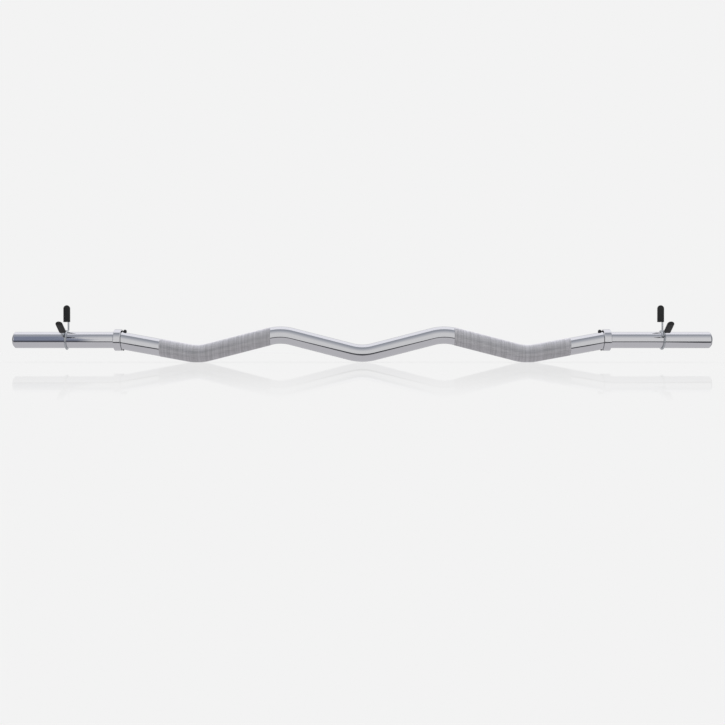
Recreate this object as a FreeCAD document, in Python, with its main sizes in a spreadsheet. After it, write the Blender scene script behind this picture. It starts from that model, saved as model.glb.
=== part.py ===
import FreeCAD
import Part

import math
import os

import Sketcher

# A curl bar of one bent steel rod, with a stop collar pinned at the root of each plate sleeve
# and a sprung wire clip gripping each sleeve. Millimetres, X along the bar, Z up, bends in XZ.
# The origin is at mid-length, half way between the high and the low bends.

doc = FreeCAD.newDocument("curl_bar")

# The driving sizes, in millimetres and degrees
SIZES = [
    # rod
    ("rod_dia", 30.0),
    ("sleeve_dia", 28.0),
    ("sleeve_length", 173.5),
    ("bend_spacing", 141.0),
    ("outer_run", 138.0),
    ("bend_height", 36.2),
    ("sleeve_height", 7.2),
    ("bend_radius", 78.0),
    ("collar_bend_radius", 30.0),
    ("shoulder_run", 0.25),
    ("end_chamfer", 2.5),
    # stop collars
    ("collar_width", 12.4),
    ("collar_seat", 3.5),
    ("collar_wall", 2.05),
    ("collar_recess_clearance", 0.22),
    ("collar_edge", 0.6),
    # collar pins
    ("pin_gap", 0.35),
    ("pin_dia", 3.0),
    ("pin_head_dia", 6.0),
    ("pin_head_height", 4.6),
    ("pin_head_rim", 1.6),
    ("pin_spot_depth", 0.5),
    ("pin_spot_clearance", 0.05),
    ("pin_tail", 1.8),
    ("pin_tail_round", 0.8),
    # spring clips, placed from the outer face of their stop collar
    ("left_clip_offset", 83.1),
    ("right_clip_offset", 89.8),
    ("wire_dia", 3.0),
    ("coil_clearance", 0.1),
    ("coil_gap", 0.5),
    ("lever_spread", 58.0),
    ("lever_gap", 0.3),
    ("lever_bend_radius", 3.0),
    ("lever_neck", 12.3),
    ("hairpin_radius", 3.0),
    ("tail_setback", 3.8),
    # grip caps
    ("grip_length", 29.1),
    ("grip_wall", 1.3),
    ("pocket_clearance", 0.05),
]

# What follows from them, so that pieces that meet share one value
FORMS = [
    ("rod_r", "sizes.rod_dia / 2"),
    ("sleeve_r", "sizes.sleeve_dia / 2"),
    ("high_z", "sizes.bend_height / 2"),
    ("low_z", "-sizes.bend_height / 2"),
    ("outer_bend_x", "2 * sizes.bend_spacing"),
    ("collar_bend_x", "outer_bend_x + sizes.outer_run"),
    ("inner_slope", "atan(sizes.bend_height / sizes.bend_spacing)"),
    ("outer_slope", "atan((sizes.sleeve_height - low_z) / sizes.outer_run)"),
    ("middle_z", "low_z + sizes.bend_radius * (1 / cos(inner_slope) - 1)"),
    ("root_tangent", "sizes.collar_bend_radius * tan(outer_slope / 2)"),
    ("shoulder_x", "collar_bend_x + root_tangent + sizes.shoulder_run"),
    ("collar_out", "shoulder_x + sizes.collar_seat"),
    ("collar_in", "collar_out - sizes.collar_width"),
    ("bar_end", "collar_out + sizes.sleeve_length"),
    ("rod_at_collar", "(collar_bend_x - collar_in) * tan(outer_slope) + rod_r / cos(outer_slope)"),
    ("recess_r", "rod_at_collar + sizes.collar_recess_clearance"),
    ("collar_r", "recess_r + sizes.collar_wall"),
    ("sleeve_top", "sizes.sleeve_height + sleeve_r"),
    ("recess_top", "sizes.sleeve_height + recess_r"),
    ("collar_top", "sizes.sleeve_height + collar_r"),
    ("pin_r", "sizes.pin_dia / 2"),
    ("pin_head_r", "sizes.pin_head_dia / 2"),
    ("pin_rim_z", "rod_r + sizes.pin_head_rim"),
    ("pin_top_z", "rod_r + sizes.pin_head_height"),
    ("pin_seat_z", "rod_r - sizes.pin_spot_depth"),
    ("pin_low_z", "-rod_r - sizes.pin_tail"),
    ("pin_tail_z", "pin_low_z + sizes.pin_tail_round"),
    ("pin_lean", "outer_slope / 2"),
    ("pin_x", "collar_in - sizes.pin_gap - pin_r + pin_low_z * sin(pin_lean)"),
    ("pin_z", "sizes.sleeve_height - (collar_bend_x - pin_x) * tan(outer_slope)"),
    ("left_clip_x", "-(collar_out + sizes.left_clip_offset)"),
    ("right_clip_x", "collar_out + sizes.right_clip_offset"),
    ("wire_r", "sizes.wire_dia / 2"),
    ("coil_r", "sleeve_r + sizes.coil_clearance + wire_r"),
    ("coil_pitch", "sizes.wire_dia + sizes.coil_gap"),
    ("coil_wrap", "360 + sizes.lever_spread"),
    ("wire_x", "coil_pitch * coil_wrap / 720"),
    ("lever_y", "sizes.lever_gap + sizes.lever_bend_radius"),
    ("lever_foot", "coil_r + sizes.lever_bend_radius"),
    ("hairpin_x", "wire_x - sizes.hairpin_radius"),
    ("tail_x", "hairpin_x - sizes.hairpin_radius"),
    ("pocket_r", "wire_r + sizes.pocket_clearance"),
    ("grip_r", "pocket_r + sizes.grip_wall"),
    ("tip_r", "sizes.hairpin_radius + grip_r"),
    ("grip_start", "lever_foot + sizes.lever_neck"),
    ("hairpin_top", "grip_start + sizes.grip_length - tip_r"),
    ("tail_end", "grip_start + sizes.tail_setback"),
]


def write_sheet(name, rows):
    sheet = doc.addObject("Spreadsheet::Sheet", name)
    for number, (alias, text) in enumerate(rows, start=1):
        sheet.set("A%d" % number, alias)
        sheet.set("B%d" % number, text)
        sheet.setAlias("B%d" % number, alias)
    doc.recompute()
    return sheet


sizes = write_sheet("sizes", [(alias, repr(number)) for alias, number in SIZES])
forms = write_sheet("forms", [(alias, "=" + text) for alias, text in FORMS])


def value(expression):
    """What an expression over the sheets comes to now, as a plain number."""
    found = forms.evalExpression(expression)
    return float(getattr(found, "Value", found))


def point(x, y, z=0.0):
    return FreeCAD.Vector(x, y, z)


UP = point(0, 0, 1)


def bind(thing, **expressions):
    """Ties properties to the sizes; a double underscore in a name stands for a dot."""
    for name, expression in expressions.items():
        thing.setExpression(name.replace("__", "."), expression)


def new_body(label):
    body = doc.addObject("PartDesign::Body", label)
    body.Label = label
    return body


def origin_plane(body, role):
    return [plane for plane in body.Origin.OriginFeatures if plane.Role == role][0]


def new_sketch(body, name, role):
    sketch = body.newObject("Sketcher::SketchObject", name)
    sketch.AttachmentSupport = [(origin_plane(body, role), "")]
    sketch.MapMode = "FlatFace"
    return sketch


def place_point(sketch, geometry, end, x, y):
    """Holds a point of the sketch at two expressions, from the sketch's origin."""
    for kind, expression in (("DistanceX", x), ("DistanceY", y)):
        if expression is not None:
            datum = Sketcher.Constraint(kind, geometry, end, value(expression))
            index = sketch.addConstraint(datum)
            sketch.setExpression("Constraints[%d]" % index, expression)


def set_radius(sketch, geometry, expression):
    index = sketch.addConstraint(Sketcher.Constraint("Radius", geometry, value(expression)))
    sketch.setExpression("Constraints[%d]" % index, expression)


def outline(sketch, corners):
    """A closed outline of straight edges, each corner given by two expressions."""
    count = len(corners)
    points = [point(value(x), value(y)) for x, y in corners]
    for n in range(count):
        sketch.addGeometry(Part.LineSegment(points[n], points[(n + 1) % count]), False)
    for n in range(count):
        sketch.addConstraint(Sketcher.Constraint("Coincident", n, 2, (n + 1) % count, 1))
    for n, (x, y) in enumerate(corners):
        place_point(sketch, n, 1, x, y)


def turn(body, sketch, axis):
    feature = body.newObject("PartDesign::Revolution", sketch.Name + "_turned")
    feature.Profile = sketch
    feature.ReferenceAxis = axis
    feature.Angle = 360.0
    return feature


# Bar

def bend_path(sketch):
    """Half of the rod's centreline, from the middle low bend to the shoulder."""
    inner = math.radians(value("forms.inner_slope"))
    outer = math.radians(value("forms.outer_slope"))
    radius = value("sizes.bend_radius")
    tight = value("sizes.collar_bend_radius")
    high = value("forms.high_z")
    low = value("forms.low_z")
    axis = value("sizes.sleeve_height")
    corners = [(0.0, low), (value("sizes.bend_spacing"), high),
               (value("forms.outer_bend_x"), low), (value("forms.collar_bend_x"), axis)]

    def bend(corner, r, slope_in, slope_out):
        """The arc that rounds a corner between two slopes, drawn anticlockwise."""
        side = 1 if slope_out > slope_in else -1
        lean = (slope_in + slope_out) / 2
        reach = r / math.cos((slope_out - slope_in) / 2)
        middle = point(corner[0] - side * reach * math.sin(lean),
                       corner[1] + side * reach * math.cos(lean))
        turns = sorted((slope_in - side * math.pi / 2, slope_out - side * math.pi / 2))
        return Part.ArcOfCircle(Part.Circle(middle, UP, r), *turns)

    middle_low = bend(corners[0], radius, -inner, inner)
    down = -math.pi / 2
    arcs = [
        Part.ArcOfCircle(Part.Circle(middle_low.Center, UP, radius), down, down + inner),
        bend(corners[1], radius, inner, -inner),
        bend(corners[2], radius, -inner, outer),
        bend(corners[3], tight, outer, 0.0),
    ]
    shoulder = point(value("forms.shoulder_x"), axis)
    lines = [
        (arcs[0].EndPoint, arcs[1].EndPoint),
        (arcs[1].StartPoint, arcs[2].StartPoint),
        (arcs[2].EndPoint, arcs[3].EndPoint),
        (arcs[3].StartPoint, shoulder),
    ]
    for arc, line in zip(arcs, lines):
        sketch.addGeometry(arc, False)
        sketch.addGeometry(Part.LineSegment(*line), False)
    for corner in corners:
        sketch.addGeometry(Part.Point(point(*corner)), True)

    # arcs are 0, 2, 4 and 6, lines 1, 3, 5 and 7, and the corners 8 to 11
    joins = [(0, 2, 1, 1), (1, 2, 2, 2), (2, 1, 3, 1), (3, 2, 4, 1), (4, 2, 5, 1),
             (5, 2, 6, 2), (6, 1, 7, 1)]
    for join in joins:
        sketch.addConstraint(Sketcher.Constraint("Tangent", *join))
    for geometry, end in ((0, 1), (0, 3), (8, 1)):
        sketch.addConstraint(Sketcher.Constraint("PointOnObject", geometry, end, -2))
    for geometry in (0, 2, 4):
        set_radius(sketch, geometry, "sizes.bend_radius")
    set_radius(sketch, 6, "sizes.collar_bend_radius")
    place_point(sketch, 8, 1, None, "forms.low_z")
    place_point(sketch, 9, 1, "sizes.bend_spacing", "forms.high_z")
    place_point(sketch, 10, 1, "forms.outer_bend_x", "forms.low_z")
    place_point(sketch, 11, 1, "forms.collar_bend_x", "sizes.sleeve_height")
    for corner, line in ((8, 1), (9, 1), (9, 3), (10, 3), (10, 5), (11, 5), (11, 7)):
        sketch.addConstraint(Sketcher.Constraint("PointOnObject", corner, 1, line))
    sketch.addConstraint(Sketcher.Constraint("Horizontal", 7))
    place_point(sketch, 7, 2, "forms.shoulder_x", None)


def sleeve_axis(sketch, start, end):
    """A construction line along the sleeves' axis, for a revolution."""
    height = value("sizes.sleeve_height")
    line = Part.LineSegment(point(value(start), height), point(value(end), height))
    index = sketch.addGeometry(line, True)
    place_point(sketch, index, 1, start, "sizes.sleeve_height")
    place_point(sketch, index, 2, end, "sizes.sleeve_height")
    return (sketch, ["Axis0"])


bar = new_body("bar")

bar_path = new_sketch(bar, "bar_path", "XZ_Plane")
bend_path(bar_path)

rod_section = new_sketch(bar, "rod_section", "YZ_Plane")
rod_middle = point(0, value("forms.middle_z"))
rod_section.addGeometry(Part.Circle(rod_middle, UP, value("forms.rod_r")), False)
rod_section.addConstraint(Sketcher.Constraint("PointOnObject", 0, 3, -2))
place_point(rod_section, 0, 3, None, "forms.middle_z")
set_radius(rod_section, 0, "forms.rod_r")
doc.recompute()

rod_half = bar.newObject("PartDesign::AdditivePipe", "rod_half")
rod_half.Profile = rod_section
rod_half.Spine = (bar_path, ["Edge%d" % n for n in range(1, 9)])
doc.recompute()

sleeve_outline = new_sketch(bar, "sleeve_outline", "XZ_Plane")
outline(sleeve_outline, [
    ("forms.shoulder_x", "sizes.sleeve_height"),
    ("forms.bar_end", "sizes.sleeve_height"),
    ("forms.bar_end", "forms.sleeve_top - sizes.end_chamfer"),
    ("forms.bar_end - sizes.end_chamfer", "forms.sleeve_top"),
    ("forms.shoulder_x", "forms.sleeve_top"),
])
sleeve_half = turn(bar, sleeve_outline,
                   sleeve_axis(sleeve_outline, "forms.shoulder_x", "forms.bar_end"))
doc.recompute()

both_halves = bar.newObject("PartDesign::Mirrored", "both_halves")
both_halves.Originals = [rod_half, sleeve_half]
both_halves.MirrorPlane = (origin_plane(bar, "YZ_Plane"), [""])
bar.Tip = both_halves
doc.recompute()


def pin_place(sign):
    """Where a collar pin crosses the rod's centreline, leaning half the bend; sign is -1 on the left."""
    turning = "rotation(vector(0; 1; 0); %d * forms.pin_lean)" % -sign
    return "placement(vector(%d * forms.pin_x; 0; forms.pin_z); %s)" % (sign, turning)


def drill(name, radius, sign, foot):
    """A round cut along a collar pin, from a height on the pin up and out of the rod."""
    cut = bar.newObject("PartDesign::SubtractiveCylinder", name)
    bind(cut, Radius=radius, Height="2 * sizes.rod_dia")
    from_foot = " * placement(vector(0; 0; %s); rotation(0; 0; 0))" % foot
    cut.setExpression("Placement", pin_place(sign) + from_foot)
    doc.recompute()


for side, sign in (("left", -1), ("right", 1)):
    drill(side + "_pin_hole", "forms.pin_r", sign, "-sizes.rod_dia")
    drill(side + "_pin_spot_face", "forms.pin_head_r + sizes.pin_spot_clearance", sign, "forms.pin_seat_z")

# Stop collars, each seated on its sleeve and recessed over the rod's shoulder

right_stop_collar = new_body("right_stop_collar")
collar_outline = new_sketch(right_stop_collar, "collar_outline", "XZ_Plane")
outline(collar_outline, [
    ("forms.collar_in", "forms.recess_top"),
    ("forms.shoulder_x", "forms.recess_top"),
    ("forms.shoulder_x", "forms.sleeve_top"),
    ("forms.collar_out", "forms.sleeve_top"),
    ("forms.collar_out", "forms.collar_top - sizes.collar_edge"),
    ("forms.collar_out - sizes.collar_edge", "forms.collar_top"),
    ("forms.collar_in + sizes.collar_edge", "forms.collar_top"),
    ("forms.collar_in", "forms.collar_top - sizes.collar_edge"),
])
turn(right_stop_collar, collar_outline,
     sleeve_axis(collar_outline, "forms.collar_in", "forms.collar_out"))


def other_hand(label, source):
    piece = doc.addObject("Part::Mirroring", label)
    piece.Label = label
    piece.Source = source
    piece.Base = (0, 0, 0)
    piece.Normal = (1, 0, 0)
    return piece


left_stop_collar = other_hand("left_stop_collar", right_stop_collar)

# Collar pins, with a domed head in a spot face and a rounded end that stands proud below

right_collar_pin = new_body("right_collar_pin")
pin_outline = new_sketch(right_collar_pin, "pin_outline", "XZ_Plane")


def dome(edge_r, edge_z, crown_z):
    """The arc of a turned dome, between its edge and its crown on the axis."""
    rise = crown_z - edge_z
    radius = (edge_r ** 2 + rise ** 2) / (2 * abs(rise))
    centre = point(0, crown_z - math.copysign(radius, rise))
    turns = sorted((math.atan2(edge_z - centre.y, edge_r), math.copysign(math.pi / 2, rise)))
    return Part.ArcOfCircle(Part.Circle(centre, UP, radius), *turns)


pin_r, head_r = value("forms.pin_r"), value("forms.pin_head_r")
low_z, tail_z, seat_z, rim_z, top_z = [value("forms.pin_%s_z" % name)
                                       for name in ("low", "tail", "seat", "rim", "top")]
steps = [point(pin_r, tail_z), point(pin_r, seat_z), point(head_r, seat_z), point(head_r, rim_z)]
for first, second in zip(steps, steps[1:]):
    pin_outline.addGeometry(Part.LineSegment(first, second), False)
pin_outline.addGeometry(dome(head_r, rim_z, top_z), False)
pin_outline.addGeometry(Part.LineSegment(point(0, top_z), point(0, low_z)), False)
pin_outline.addGeometry(dome(pin_r, tail_z, low_z), False)
for n in range(6):
    pin_outline.addConstraint(Sketcher.Constraint("Coincident", n, 2, (n + 1) % 6, 1))
for geometry, end in ((3, 3), (4, 1), (4, 2), (5, 3)):
    pin_outline.addConstraint(Sketcher.Constraint("PointOnObject", geometry, end, -2))
place_point(pin_outline, 0, 1, "forms.pin_r", "forms.pin_tail_z")
place_point(pin_outline, 1, 1, "forms.pin_r", "forms.pin_seat_z")
place_point(pin_outline, 2, 1, "forms.pin_head_r", "forms.pin_seat_z")
place_point(pin_outline, 3, 1, "forms.pin_head_r", "forms.pin_rim_z")
place_point(pin_outline, 4, 1, None, "forms.pin_top_z")
place_point(pin_outline, 4, 2, None, "forms.pin_low_z")
turn(right_collar_pin, pin_outline, (pin_outline, ["V_Axis"]))
right_collar_pin.setExpression("Placement", pin_place(1))
left_collar_pin = other_hand("left_collar_pin", right_collar_pin)
doc.recompute()

# Spring clips. Each is one wire in life: a coil between two levers, which are cut from it so
# that they can turn. Angles run from +Z towards -Y, and the clip's own axis is the sleeve's.

def clip_place(side, front):
    """A clip's frame on its sleeve; the front lever is the upright one turned about both axes."""
    spread = "rotation(vector(1; 0; 0); sizes.lever_spread)"
    about = "rotation(vector(0; 0; 1); 180)"
    turning = spread + " * " + about if front else "rotation(0; 0; 0)"
    return "placement(vector(forms.%s_clip_x; 0; sizes.sleeve_height); %s)" % (side, turning)


def coil_point(angle):
    """The wire's centre, and its heading, at an angle in radians from the upright lever."""
    radius = value("forms.coil_r")
    wrap = math.radians(value("forms.coil_wrap"))
    rise = value("forms.coil_pitch") / (2 * math.pi)
    centre = point(rise * (wrap / 2 - angle), -radius * math.sin(angle), radius * math.cos(angle))
    heading = point(-rise, -radius * math.cos(angle), -radius * math.sin(angle))
    return centre, heading.normalize()


def arc_through(start, knee, end):
    """The arc from start to end whose two end tangents meet at the knee."""
    chord_middle = (start + end) * 0.5
    half_chord = start.distanceToPoint(end) / 2
    half_turn = math.acos(half_chord / start.distanceToPoint(knee))
    sagitta = half_chord * math.tan(half_turn / 2)
    crown = chord_middle + (knee - chord_middle).normalize() * sagitta
    return Part.Arc(start, crown, end).toShape()


def biarc(start, start_heading, end, end_heading):
    """Two arcs that leave and arrive along the headings and share a tangent between."""
    across = end - start
    both = start_heading + end_heading
    turned = 2 * (1 - start_heading.dot(end_heading))
    lean = across.dot(both)
    arm = (math.sqrt(lean ** 2 + turned * across.dot(across)) - lean) / turned
    first_knee = start + start_heading * arm
    second_knee = end - end_heading * arm
    join = (first_knee + second_knee) * 0.5
    return [arc_through(start, first_knee, join), arc_through(join, second_knee, end)]


def coil_shape():
    """The wound wire, swept along one biarc to each quarter turn."""
    wrap = math.radians(value("forms.coil_wrap"))
    spans = math.ceil(wrap / (math.pi / 2))
    marks = [coil_point(wrap * n / spans) for n in range(spans + 1)]
    edges = []
    for first, second in zip(marks, marks[1:]):
        edges += biarc(*first, *second)
    start, heading = marks[0]
    section = Part.Wire(Part.makeCircle(value("forms.wire_r"), start, heading))
    return Part.Wire(edges).makePipeShell([section], True, False)


def least_gap_to_itself():
    """The least air between two places on the coil that are more than half a turn apart."""
    count = 400
    wrap = math.radians(value("forms.coil_wrap"))
    centres = [coil_point(wrap * n / count)[0] for n in range(count + 1)]
    apart = math.ceil(count * math.pi / wrap)
    least = min(centres[a].distanceToPoint(centres[b])
                for a in range(count + 1) for b in range(a + apart, count + 1))
    return least - value("sizes.wire_dia")


def make_coil(side):
    label = side + "_clip_coil"
    coil = doc.addObject("Part::Feature", label)
    coil.Label = label
    coil.Shape = coil_shape()
    coil.setExpression("Placement", clip_place(side, False))
    return coil


def make_lever(side, front):
    """Wire from the coil's end: a bend outwards, a shaft and a hairpin inside the grip."""
    label = side + ("_clip_front_lever" if front else "_clip_upright_lever")
    foot = doc.addObject("Part::Torus", label + "_foot")
    foot.Angle3 = 90
    foot.Placement.Rotation = FreeCAD.Rotation(point(0, 1, 0), 90)
    bind(foot, Radius1="sizes.lever_bend_radius", Radius2="forms.wire_r",
         Placement__Base__x="forms.wire_x", Placement__Base__y="sizes.lever_gap",
         Placement__Base__z="forms.lever_foot")
    shaft = doc.addObject("Part::Cylinder", label + "_shaft")
    bind(shaft, Radius="forms.wire_r", Height="forms.hairpin_top - forms.lever_foot",
         Placement__Base__x="forms.wire_x", Placement__Base__y="forms.lever_y",
         Placement__Base__z="forms.lever_foot")
    hairpin = doc.addObject("Part::Torus", label + "_hairpin")
    hairpin.Angle3 = 180
    hairpin.Placement.Rotation = FreeCAD.Rotation(point(1, 0, 0), 90)
    bind(hairpin, Radius1="sizes.hairpin_radius", Radius2="forms.wire_r",
         Placement__Base__x="forms.hairpin_x", Placement__Base__y="forms.lever_y",
         Placement__Base__z="forms.hairpin_top")
    tail = doc.addObject("Part::Cylinder", label + "_tail")
    bind(tail, Radius="forms.wire_r", Height="forms.hairpin_top - forms.tail_end",
         Placement__Base__x="forms.tail_x", Placement__Base__y="forms.lever_y",
         Placement__Base__z="forms.tail_end")
    lever = doc.addObject("Part::MultiFuse", label)
    lever.Label = label
    lever.Shapes = [foot, shaft, hairpin, tail]
    lever.setExpression("Placement", clip_place(side, front))
    return lever


def slot_outline(sketch, radius):
    """A round-ended slot about the hairpin's two legs."""
    right_mid = point(value("forms.wire_x"), value("forms.lever_y"))
    left_mid = point(value("forms.tail_x"), value("forms.lever_y"))
    r = value(radius)
    across = point(0, r)
    right_end = Part.Circle(right_mid, UP, r)
    left_end = Part.Circle(left_mid, UP, r)
    sketch.addGeometry(Part.ArcOfCircle(right_end, -math.pi / 2, math.pi / 2), False)
    sketch.addGeometry(Part.ArcOfCircle(left_end, math.pi / 2, 3 * math.pi / 2), False)
    sketch.addGeometry(Part.LineSegment(right_mid + across, left_mid + across), False)
    sketch.addGeometry(Part.LineSegment(left_mid - across, right_mid - across), False)
    for join in ((0, 2, 2, 1), (2, 2, 1, 1), (1, 2, 3, 1), (3, 2, 0, 1)):
        sketch.addConstraint(Sketcher.Constraint("Tangent", *join))
    place_point(sketch, 0, 3, "forms.wire_x", "forms.lever_y")
    place_point(sketch, 1, 3, "forms.tail_x", "forms.lever_y")
    set_radius(sketch, 0, radius)


def half_slot(sketch, radius):
    """Half of that slot, to be turned over the hairpin about the line between its legs."""
    leg = point(value("forms.wire_x"), value("forms.lever_y"))
    middle = point(value("forms.hairpin_x"), value("forms.lever_y"))
    r = value(radius)
    across = point(0, r)
    leg_end = Part.Circle(leg, UP, r)
    sketch.addGeometry(Part.ArcOfCircle(leg_end, -math.pi / 2, math.pi / 2), False)
    sketch.addGeometry(Part.LineSegment(leg + across, middle + across), False)
    sketch.addGeometry(Part.LineSegment(middle + across, middle - across), False)
    sketch.addGeometry(Part.LineSegment(middle - across, leg - across), False)
    sketch.addConstraint(Sketcher.Constraint("Tangent", 0, 2, 1, 1))
    sketch.addConstraint(Sketcher.Constraint("Coincident", 1, 2, 2, 1))
    sketch.addConstraint(Sketcher.Constraint("Coincident", 2, 2, 3, 1))
    sketch.addConstraint(Sketcher.Constraint("Tangent", 3, 2, 0, 1))
    sketch.addConstraint(Sketcher.Constraint("Vertical", 2))
    place_point(sketch, 0, 3, "forms.wire_x", "forms.lever_y")
    place_point(sketch, 2, 1, "forms.hairpin_x", None)
    set_radius(sketch, 0, radius)
    axis = sketch.addGeometry(Part.LineSegment(middle - across * 2, middle + across * 2), True)
    for end in (1, 2):
        sign = 2 * end - 3
        place_point(sketch, axis, end, "forms.hairpin_x", "forms.lever_y + %d * %s" % (2 * sign, radius))
    return (sketch, ["Axis0"])


def make_grip(side, front):
    """A dipped cap: a round-ended bar arched over the hairpin, with a pocket of that shape."""
    label = side + ("_clip_front_grip" if front else "_clip_upright_grip")
    body = new_body(label)
    for cut, radius in ((False, "forms.grip_r"), (True, "forms.pocket_r")):
        name = label + ("_pocket" if cut else "_outside")
        legs = new_sketch(body, name + "_legs", "XY_Plane")
        slot_outline(legs, radius)
        legs.setExpression("AttachmentOffset.Base.z", "forms.grip_start")
        straight = body.newObject("PartDesign::Pocket" if cut else "PartDesign::Pad", name)
        straight.Profile = legs
        straight.Reversed = cut
        straight.setExpression("Length", "forms.hairpin_top - forms.grip_start")
        half = new_sketch(body, name + "_half", "XY_Plane")
        axis = half_slot(half, radius)
        half.setExpression("AttachmentOffset.Base.z", "forms.hairpin_top")
        arch = body.newObject("PartDesign::Groove" if cut else "PartDesign::Revolution", name + "_arch")
        arch.Profile = half
        arch.ReferenceAxis = axis
        arch.Angle = 180.0
        arch.Reversed = True
        doc.recompute()
    body.Tip = arch
    body.setExpression("Placement", clip_place(side, front))
    doc.recompute()
    reach = arch.Shape.optimalBoundingBox(False).ZMax - value("forms.hairpin_top")
    if abs(reach - value("forms.tip_r")) > 0.01:
        raise RuntimeError("%s is not arched over its hairpin" % label)
    return body


pieces = [bar, left_stop_collar, right_stop_collar, left_collar_pin, right_collar_pin]
for clip_side in ("left", "right"):
    pieces.append(make_coil(clip_side))
    for is_front in (False, True):
        pieces.append(make_lever(clip_side, is_front))
        pieces.append(make_grip(clip_side, is_front))
doc.recompute()

print("least gap of the coil to itself: %.3f mm" % least_gap_to_itself())

for thing in doc.Objects:
    bad = [state for state in thing.State if state in ("Invalid", "Error")]
    if bad:
        raise RuntimeError("%s is %s" % (thing.Name, bad))

os.makedirs("parts", exist_ok=True)
print("overall length: %.2f mm" % (2 * value("forms.bar_end")))
for piece in pieces:
    if piece.Shape.isNull() or not piece.Shape.isValid() or len(piece.Shape.Solids) != 1:
        raise RuntimeError("%s has no single valid solid" % piece.Label)
    piece.Shape.exportStep("parts/%s.step" % piece.Label)
    print("%-28s %10.1f mm3" % (piece.Label, piece.Shape.Volume))
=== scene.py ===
import math

import bmesh
import bpy
from mathutils import Matrix, Vector


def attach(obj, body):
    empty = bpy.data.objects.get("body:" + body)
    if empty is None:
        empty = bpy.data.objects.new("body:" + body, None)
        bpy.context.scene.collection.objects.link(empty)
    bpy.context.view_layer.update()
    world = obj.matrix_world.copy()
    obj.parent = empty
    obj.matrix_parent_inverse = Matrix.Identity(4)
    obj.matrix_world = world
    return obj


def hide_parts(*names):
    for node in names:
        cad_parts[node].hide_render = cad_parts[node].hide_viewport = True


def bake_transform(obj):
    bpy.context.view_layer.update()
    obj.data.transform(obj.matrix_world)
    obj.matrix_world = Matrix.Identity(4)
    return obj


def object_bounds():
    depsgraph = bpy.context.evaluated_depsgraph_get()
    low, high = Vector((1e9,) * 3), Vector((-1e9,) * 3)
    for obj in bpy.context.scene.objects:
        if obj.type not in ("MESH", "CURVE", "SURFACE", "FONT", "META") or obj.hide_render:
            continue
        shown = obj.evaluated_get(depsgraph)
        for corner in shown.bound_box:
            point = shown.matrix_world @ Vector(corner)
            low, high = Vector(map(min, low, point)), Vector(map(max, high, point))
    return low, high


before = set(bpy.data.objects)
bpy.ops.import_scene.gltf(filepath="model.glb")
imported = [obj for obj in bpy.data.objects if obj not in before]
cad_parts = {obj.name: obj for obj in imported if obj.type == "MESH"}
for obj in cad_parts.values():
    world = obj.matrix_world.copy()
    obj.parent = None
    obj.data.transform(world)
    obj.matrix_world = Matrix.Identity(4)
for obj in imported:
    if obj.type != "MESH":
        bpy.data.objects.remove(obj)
cad_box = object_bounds()

# A bent curl bar with a stop collar pinned at the root of each plate sleeve and a sprung wire
# clip on each sleeve. Sizes are in millimetres here and turned to metres where they are used.
MM = 0.001

# Rod and sleeves, as in the CAD model
ROD_R = 15.0
SLEEVE_R = 14.0
SLEEVE_Z = 7.2
SLEEVE_LENGTH = 173.5
END_CHAMFER = 2.5
END_ROUND = 0.35
BEND_R = 78.0
COLLAR_BEND_R = 30.0
SHOULDER_RUN = 0.25
CORNERS = [(0.0, -18.1), (141.0, 18.1), (282.0, -18.1), (420.0, 7.2)]

# Stop collars
COLLAR_WIDTH = 12.4
COLLAR_SEAT = 3.5
COLLAR_WALL = 2.05
COLLAR_RECESS_CLEARANCE = 0.22
COLLAR_BORE_CLEARANCE = 0.02
COLLAR_EDGE = 0.6
COLLAR_ROUND = 0.16

# Collar pins
PIN_R = 1.5
PIN_HEAD_R = 3.0
PIN_HEAD_EDGE = 0.1
PIN_GAP = 0.35
PIN_SEAT = 14.5
PIN_RIM = 16.6
PIN_TOP = 19.6
PIN_TAIL = 16.0
PIN_LOW = 16.8

# Spring clips, in the clip's own frame: its axis is the sleeve's and its upright lever is at +Z
CLIP_X = {"left": -509.58, "right": 516.28}
WIRE_R = 1.5
COIL_R = 15.6
COIL_PITCH = 3.5
LEVER_SPREAD = 58.0
LEVER_GAP = 0.3
LEVER_BEND_R = 3.0
LEVER_NECK = 12.3
HAIRPIN_R = 3.0
TAIL_SETBACK = 3.8
GRIP_LENGTH = 29.1
GRIP_WALL = 1.3
GRIP_MOUTH_ROUND = 0.3
POCKET_CLEARANCE = 0.05

# What follows from them
INNER_SLOPE = math.atan2(CORNERS[1][1] - CORNERS[0][1], CORNERS[1][0] - CORNERS[0][0])
OUTER_SLOPE = math.atan2(CORNERS[3][1] - CORNERS[2][1], CORNERS[3][0] - CORNERS[2][0])
SHOULDER_X = CORNERS[3][0] + COLLAR_BEND_R * math.tan(OUTER_SLOPE / 2) + SHOULDER_RUN
COLLAR_OUT = SHOULDER_X + COLLAR_SEAT
COLLAR_IN = COLLAR_OUT - COLLAR_WIDTH
BAR_END = COLLAR_OUT + SLEEVE_LENGTH
ROD_AT_COLLAR = (CORNERS[3][0] - COLLAR_IN) * math.tan(OUTER_SLOPE) + ROD_R / math.cos(OUTER_SLOPE)
RECESS_R = ROD_AT_COLLAR + COLLAR_RECESS_CLEARANCE
BORE_R = SLEEVE_R + COLLAR_BORE_CLEARANCE
COLLAR_R = RECESS_R + COLLAR_WALL
PIN_LEAN = OUTER_SLOPE / 2
PIN_X = COLLAR_IN - PIN_GAP - PIN_R - PIN_LOW * math.sin(PIN_LEAN)
PIN_Z = SLEEVE_Z - (CORNERS[3][0] - PIN_X) * math.tan(OUTER_SLOPE)
COIL_WRAP = 360.0 + LEVER_SPREAD
WIRE_X = COIL_PITCH * COIL_WRAP / 720.0
LEVER_Y = LEVER_GAP + LEVER_BEND_R
LEVER_FOOT = COIL_R + LEVER_BEND_R
HAIRPIN_X = WIRE_X - HAIRPIN_R
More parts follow.
